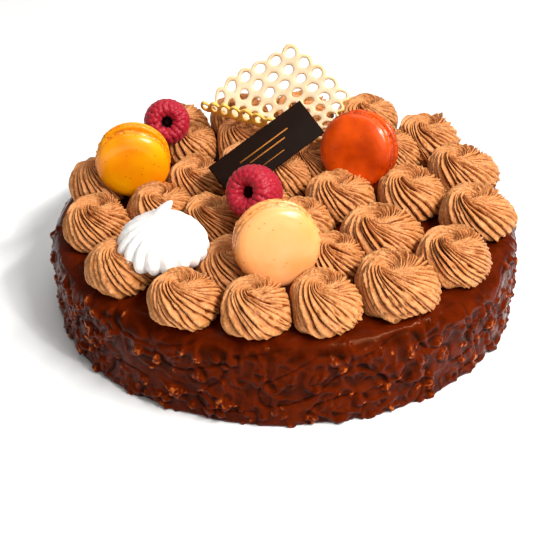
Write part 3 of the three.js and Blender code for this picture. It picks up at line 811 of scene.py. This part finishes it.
for name, (at, towards, radius, length) in RASPBERRIES.items():
    rng = np.random.default_rng(len(name))
    stops = [(r * radius, z * length) for r, z in BERRY_OUTLINE]
    line = smooth_outline(stops, np.linspace(0, 1, BERRY_ROWS), 30)
    theta = np.arange(BERRY_SIDES) * TURN / BERRY_SIDES
    skin = line * SKIN
    rings = polar(skin[:, :1], theta[None, :], skin[:, 1:])
    flat = rings.reshape(-1, 3)
    # Drupelets in staggered rows from the tip round to the rim.
    centres = []
    run = run_along(line[:HOLLOW_ROW + 1])
    for row, place_on in enumerate(np.arange(0.6, run[-1], DRUPELET_ROW_PITCH)):
        ring_r, ring_z = (np.interp(place_on, run, skin[:HOLLOW_ROW + 1, i]) for i in (0, 1))
        count = max(3, round(TURN * ring_r / DRUPELET_PITCH))
        for k in range(count):
            a = TURN * (k + 0.5 * (row % 2) + rng.uniform(-0.14, 0.14)) / count
            centres.append(polar(ring_r, a, ring_z + rng.uniform(-0.3, 0.3)))
    nearest = np.full(len(flat), 9.0)
    for centre in centres:
        nearest = np.minimum(nearest, np.linalg.norm(flat - centre, axis=1))
    slope = np.gradient(line, axis=0)
    slope /= np.maximum(np.linalg.norm(slope, axis=1), 1e-6)[:, None]
    out = polar(slope[:, 1:] * np.ones(BERRY_SIDES), theta[None, :], -slope[:, :1])
    inside = np.clip((np.arange(BERRY_ROWS) - HOLLOW_ROW) / 7, 0, 1)[:, None]
    puff = np.sqrt(np.clip(1 - (nearest / DRUPELET_RADIUS) ** 2, 0, 1)).reshape(rings.shape[:2])
    rings = rings + out * (DRUPELET_RISE * puff * (1 - inside))[..., None]
    turn = Vector((0, 0, 1)).rotation_difference(Vector(towards).normalized())
    # Painted shade: dark in the clefts between the drupelets and darkest in the hollow.
    dark = np.clip(0.95 - puff, 0, 0.85) * (1 - inside) + 0.85 * inside
    berry = mesh_piece(
        f"fresh_{name}", placed(with_ends(rings), turn, at), ring_faces(*rings.shape[:2]),
        fruit, "raspberry", cleft=np.append(dark, [0.3, 1]),
    )
    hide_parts(name)

# ---- Plaque --------------------------------------------------------------------------------------
# A thin bar of dark chocolate, cast in a mould and leaning in the cream, with thin gold rules that
# are printed on it with cocoa butter from a transfer sheet.

PLAQUE_SIZE = (58, 20.4, 1.6)
PLAQUE_AT = (-8.4, 6.2, 75.6)
PLAQUE_YAW = 10
PLAQUE_TILT = 40
PLAQUE_ROLL = 31
# Gold rules: middle along and across the face, length and width.
RULES = [(0, 2.6, 30, 0.6), (0, -0.4, 22, 0.6), (0, -5.2, 14, 0.35)]
RULE_SUNK, RULE_PROUD = 0.1, 0.06
normal = facing(PLAQUE_YAW, PLAQUE_TILT)
yaw = math.radians(PLAQUE_YAW)
level_side = Vector((math.cos(yaw), math.sin(yaw), 0))
upright = normal.cross(level_side)
roll = math.radians(PLAQUE_ROLL)
side = level_side * math.cos(roll) + upright * math.sin(roll)
rise_side = upright * math.cos(roll) - level_side * math.sin(roll)
plaque_frame = Matrix((side, rise_side, normal)).transposed()

bar = bmesh.new()
bmesh.ops.create_cube(bar, size=1)
bmesh.ops.scale(bar, vec=PLAQUE_SIZE, verts=bar.verts)
bmesh.ops.bevel(bar, geom=bar.edges[:], offset=0.4, segments=3, affect="EDGES", profile=0.6)
points = [tuple(v.co) for v in bar.verts]
faces = [[v.index for v in f.verts] for f in bar.faces]
bar.free()
gilt = [0] * len(points)
face_height = PLAQUE_SIZE[2] / 2
for middle_x, middle_y, length, width in RULES:
    first = len(points)
    for z in (face_height - RULE_SUNK, face_height + RULE_PROUD):
        for x, y in ((-1, -1), (1, -1), (1, 1), (-1, 1)):
            points.append((middle_x + x * length / 2, middle_y + y * width / 2, z))
    faces.append([first + c for c in (3, 2, 1, 0)])
    faces.append([first + c for c in (4, 5, 6, 7)])
    for k in range(4):
        n = (k + 1) % 4
        faces.append([first + c for c in (k, n, n + 4, k + 4)])
    gilt += [1] * 8
points = np.array(points) @ np.array(plaque_frame).T + PLAQUE_AT

# Tempered dark chocolate: nearly black and even, with a satin face from its mould. Its reflections
# are kept weak, so that the face stays nearly black under the lamps.
CHOCOLATE_PITCH = 7.1429
dark, tree, shader = new_material(
    "tempered_dark_chocolate", Roughness=0.5, IOR=1.46, Specular_IOR_Level=0.03,
)
place = add_node(tree, "ShaderNodeTexCoord", {})
cloud = add_node(
    tree, "ShaderNodeTexNoise",
    {"Vector": place.outputs["Object"], "Scale": every(CHOCOLATE_PITCH), "Detail": 4},
)
tone = add_node(tree, "ShaderNodeValToRGB", {"Fac": cloud.outputs["Fac"]})
set_ramp(tone, (0.3, "#130702"), (0.8, "#1a0c06"))
printed = add_node(tree, "ShaderNodeAttribute", {}, attribute_name="gilt")
painted = add_node(
    tree, "ShaderNodeMix",
    {"Factor": printed.outputs["Fac"], "A": tone.outputs["Color"], "B": linear("#a8682c")},
    data_type="RGBA",
)
tree.links.new(painted.outputs["Result"], shader.inputs["Base Color"])
bump = add_node(
    tree, "ShaderNodeBump",
    {"Height": cloud.outputs["Fac"], "Strength": 0.1, "Distance": 0.5 * MM},
)
tree.links.new(bump.outputs["Normal"], shader.inputs["Normal"])
plaque = mesh_piece("chocolate_plaque", points, faces, dark, "dark_chocolate", gilt=gilt)
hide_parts("plaque")

# ---- Lattice wafer -------------------------------------------------------------------------------
# A lace biscuit of thin batter, baked in a mould of round-cornered holes and curled while warm. It is
# ivory on its upper face, and its underside and its thin edges have browned to gold.

WAFER_THICKNESS = 1.8
WAFER_ROWS = 8
FIRST_ROW = 5
GROWING_ROWS = 5
# Guide curves at the left, middle and right: from the far edge through the trough to the near lip.
GUIDES = np.array([
    [
        (6, 82, 102), (-7, 80.4, 94.6), (-21, 78.8, 88),
        (-33, 75, 80.6), (-41, 67, 70.4), (-46, 57, 79.6),
    ],
    [
        (22, 70, 93), (13, 66.8, 85), (4, 63, 77),
        (-4, 59, 68.4), (-12.6, 55, 65.8), (-18.4, 49.5, 77.5),
    ],
    [
        (36, 58, 82), (31, 52.3, 74.7), (27, 48.4, 69.3),
        (23.5, 45, 65.6), (21, 41, 63.8), (18.6, 36.6, 66.2),
    ],
], float)


def on_guide(knots, v):
    """Points at shares v of a smooth curve through the knots, with centripetal spacing."""
    ends = np.vstack([2 * knots[0] - knots[1], knots, 2 * knots[-1] - knots[-2]])
    place = np.clip(v, 0, 1) * (len(knots) - 1)
    first = np.minimum(place.astype(int), len(knots) - 2)
    t = (place - first)[:, None]
    p0, p1, p2, p3 = (ends[first + i] for i in range(4))
    spans = ((p0, p1), (p1, p2), (p2, p3))
    d0, d1, d2 = (np.linalg.norm(b - a, axis=1)[:, None] ** 0.5 for a, b in spans)
    m1 = ((p1 - p0) / d0 - (p2 - p0) / (d0 + d1) + (p2 - p1) / d1) * d1
    m2 = ((p2 - p1) / d1 - (p3 - p1) / (d1 + d2) + (p3 - p2) / d2) * d1
    square = -3 * p1 + 3 * p2 - 2 * m1 - m2
    cube = 2 * p1 - 2 * p2 + m1 + m2
    return p1 + m1 * t + square * t ** 2 + cube * t ** 3


def on_sheet(u, v):
    """Points of the curled sheet: u runs along the far edge, v from there to the near lip."""
    u = np.asarray(u)[:, None]
    weights = ((1 - u) * (1 - 2 * u), 4 * u * (1 - u), u * (2 * u - 1))
    return sum(weight * on_guide(guide, v) for weight, guide in zip(weights, GUIDES))


def sheet_normals(u, v):
    """Directions square to the curled sheet, which point to its underside."""
    step = 0.01
    u0, v0 = np.minimum(u, 1 - step), np.minimum(v, 1 - step)
    here = on_sheet(u0, v0)
    normals = np.cross(on_sheet(u0 + step, v0) - here, on_sheet(u0, v0 + step) - here)
    return normals / np.linalg.norm(normals, axis=1)[:, None]


def pattern_uv(x, y):
    """Place on the sheet of a point of the pattern: x in half cells, y in rows."""
    left = -1 - y
    right = 2 * FIRST_ROW - 1 + np.where(y < GROWING_ROWS, y, 2 * GROWING_ROWS - y)
    return (x - left) / (right - left), (y + 2 / 3) / (WAFER_ROWS + 1 / 3)


# Six-sided cells, two half cells wide, in rows that lie sqrt(3) half cells apart.
HEXAGON = [(0, -2 / 3), (1, -1 / 3), (1, 1 / 3), (0, 2 / 3), (-1, 1 / 3), (-1, -1 / 3)]
ROW_PITCH = 1.732
PER_EDGE = 5
HOLE = 0.6
rim = []
for (ax, ay), (bx, by) in zip(HEXAGON, HEXAGON[1:] + HEXAGON[:1]):
    for share in np.arange(PER_EDGE) / PER_EDGE:
        rim.append((ax + (bx - ax) * share, ay + (by - ay) * share))
# From the middle of a strand to the edge of a hole: share of the way, and share of the thickness.
STRAND = [(0, 1.0), (0.45, 1.0), (0.8, 0.8), (0.97, 0.42)]
flat_places, offsets, golden, wafer_faces = [], [], [], []
shared, cells_at, rim_edges = {}, {}, set()
for row in range(WAFER_ROWS):
    for cell in range(FIRST_ROW + min(row, GROWING_ROWS)):
        middle_x, middle_y = 2 * cell - row, row
        loops = []
        for share, thick in STRAND:
            loop = []
            for dx, dy in rim:
                length = math.hypot(dx, dy * ROW_PITCH)
                hole_x, hole_y = (HOLE * d * (0.15 + 0.85 / length) for d in (dx, dy))
                x = middle_x + dx + (hole_x - dx) * share
                y = middle_y + dy + (hole_y - dy) * share
                # The points in the middle of a strand are shared by the cells round them.
                key = (middle_x, middle_y, share, dx, dy)
                if share == 0:
                    key = (round(x * 60), round(y * 180))
                if key not in shared:
                    shared[key] = len(flat_places)
                    flat_places += [(x, y), (x, y)]
                    offsets += [thick * WAFER_THICKNESS / 2, -thick * WAFER_THICKNESS / 2]
                    golden += [0.55 + 0.3 * share ** 2, 0.3 * share ** 3]
                loop.append(shared[key])
                if share == 0:
                    cells_at.setdefault(shared[key], []).append((middle_x, middle_y))
            loops.append(loop)
        count = len(rim)
        for outer_loop, inner_loop in zip(loops, loops[1:]):
            for k in range(count):
                n = (k + 1) % count
                a, b, c, d = outer_loop[k], outer_loop[n], inner_loop[n], inner_loop[k]
                wafer_faces += [[a, b, c, d], [d + 1, c + 1, b + 1, a + 1]]
        for k in range(count):
            n = (k + 1) % count
            a, b = loops[-1][k], loops[-1][n]
            wafer_faces.append([a, b, b + 1, a + 1])
            rim_edges.add((loops[0][k], loops[0][n]))

# The outer edge is thin and browned, and follows each outer cell in a round scallop.
outer_ends = set()
for a, b in rim_edges:
    if (b, a) not in rim_edges:
        wafer_faces.append([b, a, a + 1, b + 1])
        outer_ends |= {a, b}
for end in outer_ends:
    centre = np.mean(cells_at[end], axis=0)
    step = np.array(flat_places[end]) - centre
    length = math.hypot(step[0], step[1] * ROW_PITCH)
    pull = 0.2 + 0.8 * 1.02 / length if len(cells_at[end]) == 1 else 0.86
    for point in (end, end + 1):
        flat_places[point] = tuple(centre + step * pull)
        golden[point] = 0.6
        offsets[point] *= 0.6
u, v = pattern_uv(*np.array(flat_places).T)
points = on_sheet(u, v) + sheet_normals(u, v) * np.array(offsets)[:, None]
rng = np.random.default_rng(81)
points = points + 0.18 * np.stack([waves(rng, points.T, 9, 5) for _ in range(3)], 1)

# Baked wafer: flour, sugar and egg white, dry and thin, so it is matte with a soft sheen, and a little
# light comes through. It is ivory where the mould kept it pale and gold where it browned.
WAFER_CLOUD = 5.8824
biscuit, tree, shader = new_material(
    "baked_lace_wafer", Roughness=0.5, IOR=1.45, Subsurface_Weight=0.05, Subsurface_Scale=2 * MM,
)
browned = add_node(tree, "ShaderNodeAttribute", {}, attribute_name="browned")
place = add_node(tree, "ShaderNodeTexCoord", {})
cloud = add_node(
    tree, "ShaderNodeTexNoise",
    {"Vector": place.outputs["Object"], "Scale": every(WAFER_CLOUD), "Detail": 4},
)
shade = add_node(
    tree, "ShaderNodeMath", {0: cloud.outputs["Fac"], 1: 0.4, 2: browned.outputs["Fac"]},
    operation="MULTIPLY_ADD",
)
tone = add_node(tree, "ShaderNodeValToRGB", {"Fac": shade.outputs[0]})
set_ramp(tone, (0.15, "#e1c7a5"), (0.4, "#dcbd90"), (0.75, "#f0c25c"), (1.0, "#dc9c2c"))
tree.links.new(tone.outputs["Color"], shader.inputs["Base Color"])
bump = add_node(
    tree, "ShaderNodeBump",
    {"Height": cloud.outputs["Fac"], "Strength": 0.2, "Distance": 0.5 * MM},
)
tree.links.new(bump.outputs["Normal"], shader.inputs["Normal"])
wafer = mesh_piece(
    "curled_lattice_wafer", points, wafer_faces, biscuit, "wafer", browned=golden,
)
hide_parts("lattice_wafer")

# ---- Pressing the toppings in --------------------------------------------------------------------
# The plaque and the meringue are set down into the soft cream, so none stands above their
# undersides. Under the wafer it comes up into the holes, as far as the upper face.

SHEET_COLUMNS = 30
SHEET_ROWS = 60
OVER_SHEET = 1.3
LEAST_HEIGHT = 45 * MM
ROOM = 0.4 * MM
columns, rows = np.linspace(0, 1, SHEET_COLUMNS), np.linspace(0, 1, SHEET_ROWS)
sheet_u, sheet_v = (grid.ravel() for grid in np.meshgrid(columns, rows))
sheet = (on_sheet(sheet_u, sheet_v) - sheet_normals(sheet_u, sheet_v) * OVER_SHEET) * MM
sheet_faces = []
for row in range(SHEET_ROWS - 1):
    for column in range(SHEET_COLUMNS - 1):
        corner = row * SHEET_COLUMNS + column
        above = corner + SHEET_COLUMNS
        sheet_faces.append((corner, corner + 1, above + 1, above))
pressers = [BVHTree.FromPolygons(sheet.tolist(), sheet_faces)]
for topping in (plaque, kiss):
    corners = [v.co for v in topping.data.vertices]
    faces = [p.vertices[:] for p in topping.data.polygons]
    pressers.append(BVHTree.FromPolygons(corners, faces))
up = Vector((0, 0, 1))
for made in rosette_pieces:
    for vertex in made.data.vertices:
        for presser in pressers:
            start = Vector((vertex.co.x, vertex.co.y, LEAST_HEIGHT))
            hit = presser.ray_cast(start, up, max(vertex.co.z - LEAST_HEIGHT, 0))[0]
            if hit:
                vertex.co.z = max(hit.z - ROOM, LEAST_HEIGHT)

# ---- Studio --------------------------------------------------------------------------------------
# White floor and soft white light all round, with large soft lamps over the cake and in front of it.
# A long narrow lamp and a small one at the right give the bright strips and glints that show in the
# glaze and on the shells.

FLOOR_HALF = 4
floor_mesh = bpy.data.meshes.new("floor")
floor_corners = [(x * FLOOR_HALF, y * FLOOR_HALF, 0) for x, y in ((-1, -1), (1, -1), (1, 1), (-1, 1))]
floor_mesh.from_pydata(floor_corners, [], [(0, 1, 2, 3)])
floor = bpy.data.objects.new("floor", floor_mesh)
bpy.context.scene.collection.objects.link(floor)
# Matte white paper, which shows only soft shade.
paper, tree, shader = new_material("white_paper", Roughness=0.9)
shader.inputs["Base Color"].default_value = linear("#f4f3f1")
floor_mesh.materials.append(paper)

world = bpy.data.worlds.new("soft_white")
bpy.context.scene.world = world
world.use_nodes = True
sky = world.node_tree.nodes["Background"]
sky.inputs["Color"].default_value = linear("#ffffff")
sky.inputs["Strength"].default_value = 0.22
# Plain contrast, so that the deep brown of the glaze and the bright shells keep their colour.
bpy.context.scene.view_settings.view_transform = "Standard"


def lamp(name, towards, distance, width, height, power):
    """A lamp with a flat face of that size that shines at the middle of the cake from a direction."""
    light = bpy.data.lights.new(name, "AREA")
    light.shape = "RECTANGLE"
    light.size, light.size_y = width, height
    light.energy = power
    made = bpy.data.objects.new(name, light)
    bpy.context.scene.collection.objects.link(made)
    direction = Vector(towards).normalized()
    made.location = direction * distance + Vector((0, 0, 50 * MM))
    made.rotation_euler = direction.to_track_quat("Z", "Y").to_euler()


lamp("key", (0.55, -0.36, 0.76), 1.2, 0.8, 0.07, 19)
lamp("overhead", (0.05, 0.35, 1), 1.4, 1.4, 1.4, 9)
lamp("front", (0.1, -0.85, 0.55), 1.5, 1.1, 1.1, 4)
lamp("glint", (0.5, -0.62, 0.6), 1.2, 0.06, 0.06, 4)

camera_data = bpy.data.cameras.new("camera")
camera_data.lens = 50
camera_data.sensor_width = 24
camera_data.sensor_fit = "HORIZONTAL"
camera = bpy.data.objects.new("camera", camera_data)
bpy.context.scene.collection.objects.link(camera)
# The camera was fitted to the photo by the rim and the foot of the cake and by its toppings.
CAMERA_AT = (-0.00253, -0.51693, 0.33670)
elevation, roll = math.radians(32.892), math.radians(-0.614)
level = Vector((1, 0, 0))
rising = Vector((0, math.sin(elevation), math.cos(elevation)))
back = Vector((0, -math.cos(elevation), math.sin(elevation)))
right = level * math.cos(roll) + rising * math.sin(roll)
up = rising * math.cos(roll) - level * math.sin(roll)
camera_turn = Matrix((right, up, back)).transposed().to_4x4()
camera.matrix_world = Matrix.Translation(CAMERA_AT) @ camera_turn
bpy.context.scene.camera = camera
